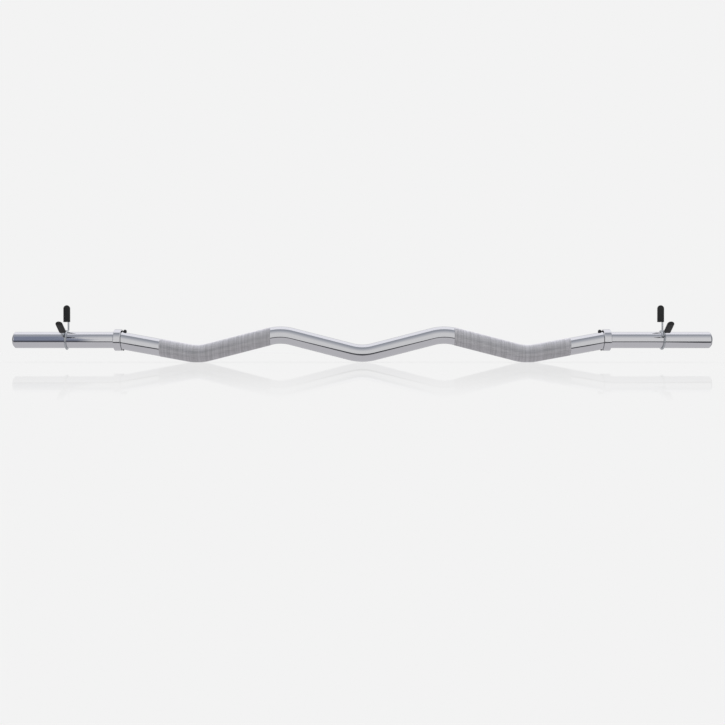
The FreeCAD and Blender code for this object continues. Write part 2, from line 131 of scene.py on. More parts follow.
GRIP_R = WIRE_R + POCKET_CLEARANCE + GRIP_WALL
GRIP_START = LEVER_FOOT + LEVER_NECK
HAIRPIN_TOP = GRIP_START + GRIP_LENGTH - HAIRPIN_R - GRIP_R
TAIL_END = GRIP_START + TAIL_SETBACK

# Knurled hand grips: where they start and end along X, and their diamonds, which are a little
# coarser than real ones so that they show
KNURL_IN = 158.0
KNURL_OUT = {"left": 348.3, "right": 357.4}
KNURL_R = 15.05
KNURL_TOOTH = 0.26
KNURL_PITCH = 1.68
KNURL_ROUND = 56
KNURL_TUCK = 0.975

# Roundness of the turned and drawn pieces
ROD_POINTS = 128
COLLAR_POINTS = 96
PIN_POINTS = 48
PIN_HEAD_STEPS = 10
PIN_TAIL_STEPS = 4
WIRE_POINTS = 32
GRIP_POINTS = 48
GRIP_STEPS = 6
ELBOW_STEPS = 12
HAIRPIN_STEPS = 20
COIL_STEP = 3.0
BEND_STEP = math.radians(2.0)
SMOOTH_ANGLE = math.radians(32.0)

# Rings this near the ends of a straight run keep its reflections straight
RUN_SUPPORT = 1.5
COLLAR_SUPPORT = 0.5

# Points nearer than the weld are one point, and a pick takes in points this far past its place
WELD = 1e-6
PICK_REACH = 0.01

# A turn that lays +Z along the bar
ALONG_X = (0.0, math.pi / 2, 0.0)


# Hand tools

def add_ring(name, points, radius, place=(0.0, 0.0, 0.0), turn=(0.0, 0.0, 0.0)):
    """Starts a piece as one ring of points at its place, open for editing and all selected."""
    bpy.ops.object.select_all(action="DESELECT")
    bpy.ops.mesh.primitive_circle_add(vertices=points, radius=radius * MM,
                                      location=Vector(place) * MM, rotation=turn)
    piece = bpy.context.object
    piece.name = name
    piece.data.name = name
    bpy.ops.object.transform_apply(location=True, rotation=True, scale=True)
    bpy.ops.object.mode_set(mode="EDIT")
    bpy.ops.mesh.select_all(action="SELECT")
    return piece


def pull(x, y, z):
    """Extrudes what is selected by a distance in millimetres."""
    bpy.ops.mesh.extrude_region_move(TRANSFORM_OT_translate={"value": Vector((x, y, z)) * MM})


def swing(angle, centre, axis, steps):
    """Extrudes what is selected round an axis; with no window the turn is left-handed."""
    bpy.ops.mesh.spin(steps=steps, angle=angle, center=Vector(centre) * MM, axis=axis)


def draw_in(factors, centre):
    """Scales what is selected about a point."""
    bpy.ops.transform.resize(value=factors, center_override=Vector(centre) * MM)


def pick(piece, kind, test):
    """Selects the points, edges or faces that pass a test, and nothing else."""
    bpy.ops.mesh.select_all(action="DESELECT")
    bpy.ops.mesh.select_mode(type={"verts": "VERT", "edges": "EDGE", "faces": "FACE"}[kind])
    shape = bmesh.from_edit_mesh(piece.data)
    for part in getattr(shape, kind):
        part.select_set(test(part))
    shape.select_flush_mode()
    bmesh.update_edit_mesh(piece.data)


def cap_ends():
    """Closes the open ends of a length of wire."""
    bpy.ops.mesh.select_all(action="DESELECT")
    bpy.ops.mesh.select_mode(type="EDGE")
    bpy.ops.mesh.select_non_manifold()
    bpy.ops.mesh.fill_holes(sides=0)


def leave(piece, flat=False):
    """Welds a piece, turns its faces outwards, closes the edit and shades it."""
    bpy.ops.mesh.select_all(action="SELECT")
    bpy.ops.mesh.remove_doubles(threshold=WELD)
    bpy.ops.mesh.normals_make_consistent(inside=False)
    bpy.ops.object.mode_set(mode="OBJECT")
    if flat:
        bpy.ops.object.shade_flat()
    else:
        bpy.ops.object.shade_smooth_by_angle(angle=SMOOTH_ANGLE)
    return piece


def only(piece):
    """Selects one piece and makes it the active one."""
    bpy.ops.object.select_all(action="DESELECT")
    piece.select_set(True)
    bpy.context.view_layer.objects.active = piece


def twin(piece, name):
    """A copy with a mesh of its own."""
    only(piece)
    bpy.ops.object.duplicate(linked=False)
    copy = bpy.context.object
    copy.name = name
    copy.data.name = name
    return copy


def put(piece, place):
    """Moves a piece by a matrix and leaves its object at the origin."""
    only(piece)
    piece.matrix_world = place
    bpy.ops.object.transform_apply(location=True, rotation=True, scale=True)
    return piece


def other_side(piece, name):
    """A mirror copy of a piece on the other side of the bar's middle."""
    copy = twin(piece, name)
    bpy.ops.object.mode_set(mode="EDIT")
    bpy.ops.mesh.select_all(action="SELECT")
    bpy.ops.transform.resize(value=(-1, 1, 1), center_override=(0, 0, 0))
    bpy.ops.mesh.normals_make_consistent(inside=False)
    bpy.ops.object.mode_set(mode="OBJECT")
    return copy


def modify(piece, kind, **settings):
    """Adds a modifier and applies it."""
    only(piece)
    modifier = piece.modifiers.new(kind.lower(), kind)
    for name, value in settings.items():
        setattr(modifier, name, value)
    bpy.ops.object.modifier_apply(modifier=modifier.name)


# The bar's centreline

def ahead(slope):
    """The direction along a run of the bar."""
    return Vector((math.cos(slope), 0, math.sin(slope)))


def above(slope):
    """The direction square to a run of the bar, in the plane of its bends."""
    return Vector((-math.sin(slope), 0, math.cos(slope)))


def half_route():
    """Bends and runs from the middle low bend to the shoulder: (kind, place, slope, size, radius)."""
    slopes = [INNER_SLOPE, -INNER_SLOPE, OUTER_SLOPE, 0.0]
    radii = [BEND_R, BEND_R, BEND_R, COLLAR_BEND_R]
    turns = [2 * INNER_SLOPE] + [abs(b - a) for a, b in zip(slopes, slopes[1:])]
    tangents = [r * math.tan(turn / 2) for r, turn in zip(radii, turns)]
    lengths = [math.dist(a, b) - s - t
               for a, b, s, t in zip(CORNERS, CORNERS[1:], tangents, tangents[1:])]
    lengths.append(SHOULDER_RUN)
    place = Vector((0, 0, CORNERS[0][1] + BEND_R * (1 / math.cos(INNER_SLOPE) - 1)))
    slope = 0.0
    route = []
    for new_slope, radius, length in zip(slopes, radii, lengths):
        route.append(("bend", place.copy(), slope, new_slope, radius))
        side = math.copysign(1, new_slope - slope)
        centre = place + above(slope) * side * radius
        place = centre - above(new_slope) * side * radius
        slope = new_slope
        route.append(("run", place.copy(), slope, length, None))
        place = place + ahead(slope) * length
    return route


def draw_straight(forward, length):
    """A straight run with a ring near each end, which keeps its reflections straight."""
    guard = min(RUN_SUPPORT, length / 4)
    for part in (guard, length - 2 * guard, guard):
        pull(*(forward * part))


def draw_along(legs, run_pitch=None, bend_pitch=None):
    """Draws the selected ring along bends and runs, in one step a run or in steps of a pitch."""
    for kind, place, slope, size, radius in legs:
        if kind == "run":
            if run_pitch:
                count = round(size / run_pitch)
                bpy.ops.mesh.extrude_repeat(steps=count, offset=ahead(slope) * (size / count) * MM)
            else:
                draw_straight(ahead(slope), size)
        else:
            side = math.copysign(1, size - slope)
            reach = abs(size - slope)
            centre = place + above(slope) * side * radius
            count = round(reach * radius / bend_pitch) if bend_pitch else math.ceil(reach / BEND_STEP)
            swing(reach, centre, (0, side, 0), count)


ROUTE = half_route()

# The knurl is drawn from the start of the high bend to the end of the run before the collar
KNURL_LEGS = ROUTE[2:6]


# Rod

def make_rod():
    """One half drawn from the middle bend out to the end of its sleeve, then mirrored."""
    rod = add_ring("bent_rod", ROD_POINTS, ROD_R, ROUTE[0][1], ALONG_X)
    draw_along(ROUTE)
    pull(0, 0, 0)
    draw_in((1, SLEEVE_R / ROD_R, SLEEVE_R / ROD_R), (SHOULDER_X, 0, SLEEVE_Z))
    draw_straight(ahead(0.0), BAR_END - END_CHAMFER - SHOULDER_X)
    pull(END_CHAMFER, 0, 0)
    nose = (SLEEVE_R - END_CHAMFER) / SLEEVE_R
    draw_in((1, nose, nose), (BAR_END, 0, SLEEVE_Z))
    bpy.ops.mesh.edge_face_add()
    chamfer_x = (BAR_END - END_CHAMFER - PICK_REACH) * MM
    pick(rod, "edges", lambda edge: len(edge.link_faces) == 2
         and all(v.co.x > chamfer_x for v in edge.verts)
         and abs(edge.verts[0].co.x - edge.verts[1].co.x) < WELD)
    bpy.ops.mesh.bevel(offset=END_ROUND * MM, segments=3, affect="EDGES")
    bpy.ops.object.mode_set(mode="OBJECT")
    modify(rod, "MIRROR", use_axis=(True, False, False), merge_threshold=WELD)
    bpy.ops.object.mode_set(mode="EDIT")
    return leave(rod)


# Knurled hand grips

def make_knurl():
    """Diamond teeth wrapped round one side of the rod, longer than the grip at both ends."""
    knurl = add_ring("right_knurled_grip", KNURL_ROUND, KNURL_R, KNURL_LEGS[0][1],
                     (0.0, math.pi / 2 - INNER_SLOPE, 0.0))
    draw_along(KNURL_LEGS, KNURL_PITCH, KNURL_PITCH)
    bpy.ops.mesh.select_all(action="SELECT")
    bpy.ops.mesh.mark_seam()
    bpy.ops.mesh.poke()
    pick(knurl, "edges", lambda edge: edge.seam and not edge.is_boundary)
    bpy.ops.mesh.dissolve_edges(use_verts=False)
    bpy.ops.mesh.select_all(action="SELECT")
    bpy.ops.mesh.normals_make_consistent(inside=False)
    valleys = len(bmesh.from_edit_mesh(knurl.data).verts)
    bpy.ops.mesh.poke(offset=KNURL_TOOTH * MM)
    bpy.ops.mesh.mark_seam(clear=True)
    bpy.ops.object.mode_set(mode="OBJECT")
    tip = knurl.data.attributes.new("tooth_tip", "FLOAT", "POINT")
    for point in tip.data[valleys:]:
        point.value = 1.0
    # Painted highlight: how far each point faces up, kept so that the top of the grip can be lightened
    # as if lit from above
    painted_top_highlight = knurl.data.attributes.new("painted_top_highlight", "FLOAT", "POINT")
    for point, corner in zip(painted_top_highlight.data, knurl.data.vertices):
        point.value = corner.normal.z
    return knurl


def trim_knurl(knurl, sign, outer):
    """Cuts a grip off square at both ends and tucks the cut edges in against the rod."""
    only(knurl)
    bpy.ops.object.mode_set(mode="EDIT")
    for end, away in ((sign * KNURL_IN * MM, sign), (sign * outer * MM, -sign)):
        bpy.ops.mesh.select_all(action="SELECT")
        bpy.ops.mesh.bisect(plane_co=(end, 0, 0), plane_no=(away, 0, 0), clear_inner=True)
        pick(knurl, "edges", lambda edge: edge.is_boundary
             and all(abs(v.co.x - end) < PICK_REACH * MM for v in edge.verts))
        cut = [v.co for v in bmesh.from_edit_mesh(knurl.data).verts if v.select]
        middle = sum(cut, Vector()) / len(cut)
        bpy.ops.mesh.extrude_region_move()
        bpy.ops.transform.resize(value=(1, KNURL_TUCK, KNURL_TUCK), center_override=middle)
    return leave(knurl, flat=True)


# Turned pieces

def draw_rings(rings):
    """Draws the selected ring through turned ones of (height, radius); a radius of 0 closes it."""
    for (low, old_r), (high, new_r) in zip(rings, rings[1:]):
        pull(0, 0, high - low)
        if new_r:
            draw_in((new_r / old_r, new_r / old_r, 1), (0, 0, high))
        else:
            bpy.ops.mesh.merge(type="CENTER")


def lathe(name, rings, points):
    """Starts a turned shape about +Z and draws it through its rings."""
    piece = add_ring(name, points, rings[0][1], (0, 0, rings[0][0]))
    draw_rings(rings)
    return piece


def make_collar():
    """A turned ring: a bore on the sleeve, and a recess over the bent shoulder of the rod."""
    back = COLLAR_IN - SHOULDER_X
    front = COLLAR_OUT - SHOULDER_X
    collar = lathe("right_collar", [
        (back, RECESS_R),
        (back, COLLAR_R - COLLAR_EDGE),
        (back + COLLAR_EDGE, COLLAR_R),
        (back + COLLAR_EDGE + COLLAR_SUPPORT, COLLAR_R),
        (front - COLLAR_EDGE - COLLAR_SUPPORT, COLLAR_R),
        (front - COLLAR_EDGE, COLLAR_R),
        (front, COLLAR_R - COLLAR_EDGE),
        (front, BORE_R),
        (0, BORE_R),
        (0, RECESS_R),
        (back, RECESS_R),
    ], COLLAR_POINTS)
    bpy.ops.mesh.select_all(action="SELECT")
    bpy.ops.mesh.remove_doubles(threshold=WELD)
    outside = (COLLAR_R - COLLAR_EDGE - PICK_REACH) * MM
    pick(collar, "edges", lambda edge: all(v.co.xy.length > outside for v in edge.verts)
         and abs(edge.verts[0].co.z - edge.verts[1].co.z) < WELD
         and edge.calc_face_angle(0.0) > SMOOTH_ANGLE)
    bpy.ops.mesh.bevel(offset=COLLAR_ROUND * MM, segments=2, affect="EDGES")
    leave(collar)
    turned = Matrix.Rotation(math.pi / 2, 4, "Y")
    return put(collar, Matrix.Translation(Vector((SHOULDER_X, 0, SLEEVE_Z)) * MM) @ turned)


def dome(edge_r, edge_z, crown_z, steps):
    """Rings of a turned dome, from its edge to its crown."""
    return [(edge_z + (crown_z - edge_z) * math.sin(math.pi / 2 * n / steps),
             edge_r * math.cos(math.pi / 2 * n / steps) if n < steps else 0.0)
            for n in range(1, steps + 1)]


def make_pin():
    """A cross pin with a domed head and a rounded end that stands proud below the rod."""
    shank = [(-PIN_TAIL, PIN_R), (PIN_SEAT, PIN_R), (PIN_SEAT, PIN_HEAD_R - PIN_HEAD_EDGE),
             (PIN_SEAT + PIN_HEAD_EDGE, PIN_HEAD_R), (PIN_RIM, PIN_HEAD_R)]
    head = dome(PIN_HEAD_R, PIN_RIM, PIN_TOP, PIN_HEAD_STEPS)
    pin = lathe("right_pin", shank + head, PIN_POINTS)
    low_ring = (PICK_REACH - PIN_TAIL) * MM
    pick(pin, "verts", lambda v: v.co.z < low_ring)
    draw_rings([(-PIN_TAIL, PIN_R)] + dome(PIN_R, -PIN_TAIL, -PIN_LOW, PIN_TAIL_STEPS))
    leave(pin)
    lean = Matrix.Rotation(-PIN_LEAN, 4, "Y")
    return put(pin, Matrix.Translation(Vector((PIN_X, 0, PIN_Z)) * MM) @ lean)


# Spring clips

def make_lever():
    """Wire from the coil's end: a bend outwards, a shaft, a hairpin and its tail."""
    lever = add_ring("lever", WIRE_POINTS, WIRE_R, (WIRE_X, 0, COIL_R), (math.pi / 2, 0.0, 0.0))
    pull(0, LEVER_GAP, 0)
    swing(math.pi / 2, (WIRE_X, LEVER_GAP, LEVER_FOOT), (-1, 0, 0), ELBOW_STEPS)
    pull(0, 0, HAIRPIN_TOP - LEVER_FOOT)
    swing(math.pi, (HAIRPIN_X, LEVER_Y, HAIRPIN_TOP), (0, 1, 0), HAIRPIN_STEPS)
    pull(0, 0, TAIL_END - HAIRPIN_TOP)
    cap_ends()
    return leave(lever)


def make_grip():
    """A dipped cap: a slot of points drawn up the hairpin's legs and swung over its arch."""
    grip = add_ring("grip", GRIP_POINTS, GRIP_R, (HAIRPIN_X, LEVER_Y, GRIP_START))
    middle = HAIRPIN_X * MM
    for side in (1, -1):
        pick(grip, "verts", lambda v: side * (v.co.x - middle) > WELD)
        bpy.ops.transform.translate(value=(side * HAIRPIN_R * MM, 0, 0))
    bpy.ops.mesh.select_all(action="SELECT")
    rise = (HAIRPIN_TOP - GRIP_START) / GRIP_STEPS * MM
    bpy.ops.mesh.extrude_repeat(steps=GRIP_STEPS, offset=(0, 0, rise))
    top = (HAIRPIN_TOP - PICK_REACH) * MM
    pick(grip, "edges", lambda edge: all(v.co.z > top and v.co.x > middle - WELD for v in edge.verts))
    swing(math.pi, (HAIRPIN_X, LEVER_Y, HAIRPIN_TOP), (0, 1, 0), HAIRPIN_STEPS)
    leave(grip)
    modify(grip, "SOLIDIFY", thickness=GRIP_WALL * MM, offset=-1.0, use_even_offset=True)
    bpy.ops.object.mode_set(mode="EDIT")
    mouth = (GRIP_START + PICK_REACH) * MM
    pick(grip, "edges", lambda edge: all(v.co.z < mouth for v in edge.verts)
         and abs(edge.calc_face_angle(0.0)) > SMOOTH_ANGLE)
    bpy.ops.mesh.bevel(offset=GRIP_MOUTH_ROUND * MM, segments=3, affect="EDGES")
    return leave(grip)


def make_coil_length(name, start, sweep):
    """A length of the winding, from one angle through another, in degrees from the upright lever."""
    x = WIRE_X - COIL_PITCH * start / 360.0
    length = add_ring(name, WIRE_POINTS, WIRE_R, (x, 0, COIL_R), (math.pi / 2, 0.0, 0.0))
    bpy.ops.object.mode_set(mode="OBJECT")
    steps = round(sweep / COIL_STEP)
    modify(length, "SCREW", axis="X", angle=math.radians(sweep), steps=steps, render_steps=steps,
           screw_offset=-COIL_PITCH * sweep / 360.0 * MM)
    bpy.ops.object.mode_set(mode="EDIT")
    cap_ends()
    leave(length)
    return put(length, Matrix.Rotation(math.radians(start), 4, "X"))


# The bar with its collars and pins

rod = make_rod()
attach(rod, "bar")
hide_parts("bar")

right_knurl = make_knurl()
left_knurl = other_side(right_knurl, "left_knurled_grip")
for side, sign, knurl in (("left", -1, left_knurl), ("right", 1, right_knurl)):
    trim_knurl(knurl, sign, KNURL_OUT[side])
    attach(knurl, "bar")
    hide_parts("bar")

right_collar = make_collar()
left_collar = other_side(right_collar, "left_collar")
right_pin = make_pin()
left_pin = other_side(right_pin, "left_pin")
for side, collar, pin in (("left", left_collar, left_pin), ("right", right_collar, right_pin)):
    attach(collar, "bar")
    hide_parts(side + "_stop_collar")
    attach(pin, "bar")
    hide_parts(side + "_collar_pin")

# The two clips: half a turn at each end of the winding is a piece of its own, and the length
# between them stays with the clip

LED_SWEEP = 180.0
LED_LENGTHS = {"upright": (0.0, LED_SWEEP), "front": (COIL_WRAP - LED_SWEEP, LED_SWEEP)}
MIDDLE_LENGTH = (LED_SWEEP, COIL_WRAP - 2 * LED_SWEEP)
LEVER_TURNS = {
    "upright": Matrix.Identity(4),
    "front": Matrix.Rotation(math.radians(LEVER_SPREAD), 4, "X") @ Matrix.Rotation(math.pi, 4, "Z"),
}
lever_shape = make_lever()
grip_shape = make_grip()
end_shapes = {lever: make_coil_length("coil_end", *span) for lever, span in LED_LENGTHS.items()}
middle_shape = make_coil_length("coil_middle", *MIDDLE_LENGTH)
wires = []
caps = []
for side in ("left", "right"):
    on_sleeve = Matrix.Translation(Vector((CLIP_X[side], 0, SLEEVE_Z)) * MM)
    clip = side + "_clip"
    coil_node = clip + "_coil"
    middle = put(twin(middle_shape, clip + "_coil_middle"), on_sleeve)
    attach(middle, clip)
    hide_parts(coil_node)
    wires.append(middle)
    for lever, (start, sweep) in LED_LENGTHS.items():
        body = clip + "_" + lever + "_handle"
        wire = put(twin(lever_shape, clip + "_" + lever + "_wire"), on_sleeve @ LEVER_TURNS[lever])
        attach(wire, body)
        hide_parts(clip + "_" + lever + "_lever")
        cap = put(twin(grip_shape, clip + "_" + lever + "_cap"), on_sleeve @ LEVER_TURNS[lever])
        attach(cap, body)
        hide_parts(clip + "_" + lever + "_grip")
        end = put(twin(end_shapes[lever], clip + "_" + lever + "_coil_end"), on_sleeve)
        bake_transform(end)
        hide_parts(coil_node)
        wires += [wire, end]
        caps.append(cap)
for pattern in [lever_shape, grip_shape, middle_shape, *end_shapes.values()]:
    bpy.data.objects.remove(pattern)


# Material tools

def colour(code):
    """An sRGB hex colour as the linear one that shaders use."""
    channels = [int(code[n:n + 2], 16) / 255 for n in (1, 3, 5)]
    linear = [c / 12.92 if c <= 0.04045 else ((c + 0.055) / 1.055) ** 2.4 for c in channels]
    return (*linear, 1.0)


def node(tree, kind, settings=None, links=None, **inputs):
    """Adds a node: settings are its properties, inputs its socket values by name.

    Links are the sockets that feed it, or plain values where its sockets share one name.
    """
    made = tree.nodes.new(kind)
    for name, value in (settings or {}).items():
        setattr(made, name, value)
    for name, value in inputs.items():
        made.inputs[name.replace("_", " ")].default_value = value
    for name, source in (links or {}).items():
        if isinstance(source, bpy.types.NodeSocket):
            tree.links.new(source, made.inputs[name])
        else:
            made.inputs[name].default_value = source
    return made


def new_material(name):
    """An empty material and its tree."""
    material = bpy.data.materials.new(name)
    material.use_nodes = True
    material.node_tree.nodes.clear()
    return material, material.node_tree


def paint(ramp, stops):
    """Sets a colour ramp's stops."""
    while len(ramp.elements) < len(stops):
        ramp.elements.new(1.0)
    for stop, (position, code) in zip(ramp.elements, stops):
        stop.position = position
        stop.color = colour(code)


def coat(material, *pieces):
    """Gives pieces one material."""
    for piece in pieces:
        piece.data.materials.clear()
        piece.data.materials.append(material)


# Materials of the bar and its clips

def plated_steel(name, base, worn, smooth, hazed, lines_mm, stretch):
    """Plated steel: a hard mirror with faint clouds, hazed along the lines its finishing left.

    Real buffing lines are finer than a hair, so they are drawn coarser here to show.
    """
    clouds_mm = 35.0
    relief_mm = 0.02
    material, tree = new_material(name)
    place = node(tree, "ShaderNodeTexCoord").outputs["Object"]
    drawn = node(tree, "ShaderNodeMapping", links={"Vector": place}, Scale=stretch).outputs["Vector"]
    lines = node(tree, "ShaderNodeTexNoise", links={"Vector": drawn},
                 Scale=1 / (lines_mm * MM), Detail=4.0).outputs["Fac"]
    clouds = node(tree, "ShaderNodeTexNoise", links={"Vector": place},
                  Scale=1 / (clouds_mm * MM), Detail=2.0).outputs["Fac"]
    tone = node(tree, "ShaderNodeMix", {"data_type": "RGBA"}, {"Factor": clouds},
                A=colour(base), B=colour(worn))
    haze = node(tree, "ShaderNodeMapRange", links={"Value": lines},
                From_Min=0.3, From_Max=0.75, To_Min=smooth, To_Max=hazed)
    skin = node(tree, "ShaderNodeBump", links={"Height": lines}, Strength=0.03, Distance=relief_mm * MM)
    shader = node(tree, "ShaderNodeBsdfPrincipled", links={
        "Base Color": tone.outputs["Result"], "Roughness": haze.outputs["Result"],
        "Normal": skin.outputs["Normal"]}, Metallic=1.0)
    node(tree, "ShaderNodeOutputMaterial", links={"Surface": shader.outputs["BSDF"]})
    return material


def knurled_chrome():
    """Rolled diamond knurl, plated over: tips lighter and valleys greyer, and the teeth that face up
    lightened as a painted highlight of the light from above.

    The roller leaves rings that differ a little; they are drawn wider than life so that they show.
    """
    rings_mm = 2.4
    material, tree = new_material("chrome_plated_knurl")
    place = node(tree, "ShaderNodeTexCoord").outputs["Object"]
    tip = node(tree, "ShaderNodeAttribute", {"attribute_name": "tooth_tip"}).outputs["Fac"]
    upward = node(tree, "ShaderNodeAttribute", {"attribute_name": "painted_top_highlight"}).outputs["Fac"]
    ringwise = node(tree, "ShaderNodeMapping", links={"Vector": place},
                    Scale=(1.0, 0.04, 0.04)).outputs["Vector"]
    rings = node(tree, "ShaderNodeTexNoise", links={"Vector": ringwise},
                 Scale=1 / (rings_mm * MM), Detail=1.0).outputs["Fac"]
    tooth = node(tree, "ShaderNodeMix", {"data_type": "RGBA"}, {"Factor": tip},
                 A=colour("#aeadb0"), B=colour("#e0dfe1"))
    rolled = node(tree, "ShaderNodeMapRange", links={"Value": rings},
                  From_Min=0.36, From_Max=0.64, To_Min=0.885, To_Max=1.09).outputs["Result"]
    # Painted highlight: teeth that face up are made lighter, standing in for light from above; the
    # rings' tone is real
    painted_top_lightening = node(tree, "ShaderNodeMapRange", links={"Value": upward},
                  From_Min=0.5, From_Max=0.95, To_Min=0.96, To_Max=1.34).outputs["Result"]
    ring_tone_and_painted_highlight = node(tree, "ShaderNodeMath", {"operation": "MULTIPLY"}, {0: rolled, 1: painted_top_lightening})
    tone = node(tree, "ShaderNodeVectorMath", {"operation": "SCALE"},
                {"Vector": tooth.outputs["Result"], "Scale": ring_tone_and_painted_highlight.outputs["Value"]})
    sheen = node(tree, "ShaderNodeMapRange", links={"Value": tip}, To_Min=0.52, To_Max=0.34)
    shader = node(tree, "ShaderNodeBsdfPrincipled", links={
        "Base Color": tone.outputs["Vector"], "Roughness": sheen.outputs["Result"]}, Metallic=1.0)
    node(tree, "ShaderNodeOutputMaterial", links={"Surface": shader.outputs["BSDF"]})
    return material


def dipped_vinyl():
    """Plastisol cap: dipped and cured, so black right through, satin and faintly pebbled.

    The pebble is drawn coarser than life so that it shows.
    """
    pebble_mm = 0.9
    scuff_mm = 6.0
    relief_mm = 0.08
    material, tree = new_material("dipped_black_vinyl")
    place = node(tree, "ShaderNodeTexCoord").outputs["Object"]
    pebble = node(tree, "ShaderNodeTexNoise", links={"Vector": place},
                  Scale=1 / (pebble_mm * MM), Detail=3.0).outputs["Fac"]
    scuffs = node(tree, "ShaderNodeTexNoise", links={"Vector": place},
                  Scale=1 / (scuff_mm * MM), Detail=5.0).outputs["Fac"]
    tone = node(tree, "ShaderNodeMix", {"data_type": "RGBA"}, {"Factor": scuffs},
                A=colour("#121213"), B=colour("#1b1b1c"))
    sheen = node(tree, "ShaderNodeMapRange", links={"Value": scuffs},
                 From_Min=0.3, From_Max=0.7, To_Min=0.38, To_Max=0.55)
    skin = node(tree, "ShaderNodeBump", links={"Height": pebble}, Strength=0.25, Distance=relief_mm * MM)
    shader = node(tree, "ShaderNodeBsdfPrincipled", links={
        "Base Color": tone.outputs["Result"], "Roughness": sheen.outputs["Result"],
        "Normal": skin.outputs["Normal"]}, IOR=1.52, Specular_IOR_Level=0.3)
    node(tree, "ShaderNodeOutputMaterial", links={"Surface": shader.outputs["BSDF"]})
    return material


def blackened_steel():
    """Oxide-blackened steel: an oily black film that lets a little metal through where it wears.

    Its mottle is drawn coarser than life so that it shows.
    """
    mottle_mm = 1.2
    material, tree = new_material("blackened_steel_pin")
    place = node(tree, "ShaderNodeTexCoord").outputs["Object"]
    mottle = node(tree, "ShaderNodeTexNoise", links={"Vector": place},
                  Scale=1 / (mottle_mm * MM), Detail=4.0).outputs["Fac"]
    tone = node(tree, "ShaderNodeMix", {"data_type": "RGBA"}, {"Factor": mottle},
                A=colour("#141415"), B=colour("#2a2a2d"))
    sheen = node(tree, "ShaderNodeMapRange", links={"Value": mottle},
                 From_Min=0.3, From_Max=0.7, To_Min=0.32, To_Max=0.5)
    shader = node(tree, "ShaderNodeBsdfPrincipled", links={
        "Base Color": tone.outputs["Result"], "Roughness": sheen.outputs["Result"]}, Metallic=0.4)
    node(tree, "ShaderNodeOutputMaterial", links={"Surface": shader.outputs["BSDF"]})
    return material


# Rod: drawn, ground and buffed, then chromed, which gives a clear mirror with faint lines along it
rod_chrome = plated_steel("chrome_plated_rod", base="#d0d0d3", worn="#cccccf",
                          smooth=0.05, hazed=0.10, lines_mm=0.8, stretch=(0.05, 1.0, 1.0))
# Collars: turned, then chromed, which leaves faint rings round the mirror
ring_chrome = plated_steel("chrome_plated_ring", base="#d2d2d5", worn="#cdcdd0",
                           smooth=0.06, hazed=0.12, lines_mm=0.5, stretch=(1.0, 0.2, 0.2))
# Clips: cold-drawn wire, wound and zinc-plated, so greyer and more satin than chrome
wire_zinc = plated_steel("zinc_plated_spring_wire", base="#bcbfc2", worn="#adb0b4",
                         smooth=0.16, hazed=0.28, lines_mm=0.4, stretch=(1.0, 1.0, 1.0))

coat(rod_chrome, rod)
coat(knurled_chrome(), left_knurl, right_knurl)
coat(ring_chrome, left_collar, right_collar)
coat(blackened_steel(), left_pin, right_pin)
coat(wire_zinc, *wires)
coat(dipped_vinyl(), *caps)


# Studio, in metres: a pale floor and a soft sky that pales towards the horizon, and a softbox,
# a painted board, a flag and two cards that only polished metal shows

PAPER = "#f3f3f3"
FLOOR_Z = cad_box[0].z
FLOOR_SIZE = 60.0
CAMERA_REACH = 1.737

# How far towards edge-on the floor starts and ends gaining its polish, and how much it gains
POLISH_FACING = (0.953, 0.981)
POLISH = 0.19

# The dark line on the painted board: its nearer and farther edges from the bar's middle plane,
# where the bar is low and where it is high, then how it narrows at the sleeves and widens at the end
BOARD_DROP = 0.002
BEND_SPACING = CORNERS[1][0] * MM
LINE_NEAR = {"low": 0.030, "high": 0.082}
LINE_FAR = {"low": 0.106, "high": 0.124}
LINE_LEVEL_X = 0.350
LINE_SLEEVE_X = (0.405, 0.435)
LINE_SLEEVE_SHIFT = 0.0125
LINE_FLARE_X = (0.51, 0.60)
LINE_FLARE = 0.022

# The flag at the front left: a strip on the floor that widens forwards, then rises and leans out.
# It fades out along a slanting edge and towards its top, and it is darker near the bar
FLAG_DROP = 0.001
FLAG_FADE_SLANT = (-0.279, -0.262)
FLAG_FADE_Z = (2.2, 4.6)
FLAG_DARK_Y = (-0.45, -0.13)
FLAG_ROOT_X = -0.575
FLAG_ROOT_Y = -0.205
FLAG_ROOT_WIDTH = 0.21
FLAG_FRONT_X = -1.325
FLAG_FRONT_Y = -2.5
FLAG_FRONT_WIDTH = 0.49
FLAG_LEAN = -0.97
FLAG_HEIGHT = 5.0
FLAG_SPREAD = 1.7

SOFTBOX_MIDDLE = (0.0, 0.82, 1.5)
SOFTBOX_SIZE = (3.6, 1.96, 1.0)
END_CARD_X = 0.95
END_CARD_Y = -0.05
END_CARD_SIZE = 0.5


def plain_sheet(name, size, place, turn=(0.0, 0.0, 0.0)):
    """A square sheet with its place in its mesh."""
    bpy.ops.object.select_all(action="DESELECT")
    bpy.ops.mesh.primitive_plane_add(size=size, location=place, rotation=turn)
    sheet = bpy.context.object
    sheet.name = name
    bpy.ops.object.transform_apply(location=True, rotation=True, scale=True)
    return sheet


def seen_only_by(sheet, *rays):
    """Shows a sheet to some kinds of ray and hides it from the rest."""
    for ray in ("camera", "diffuse", "glossy", "transmission", "volume_scatter", "shadow"):
        setattr(sheet, "visible_" + ray, ray in rays)


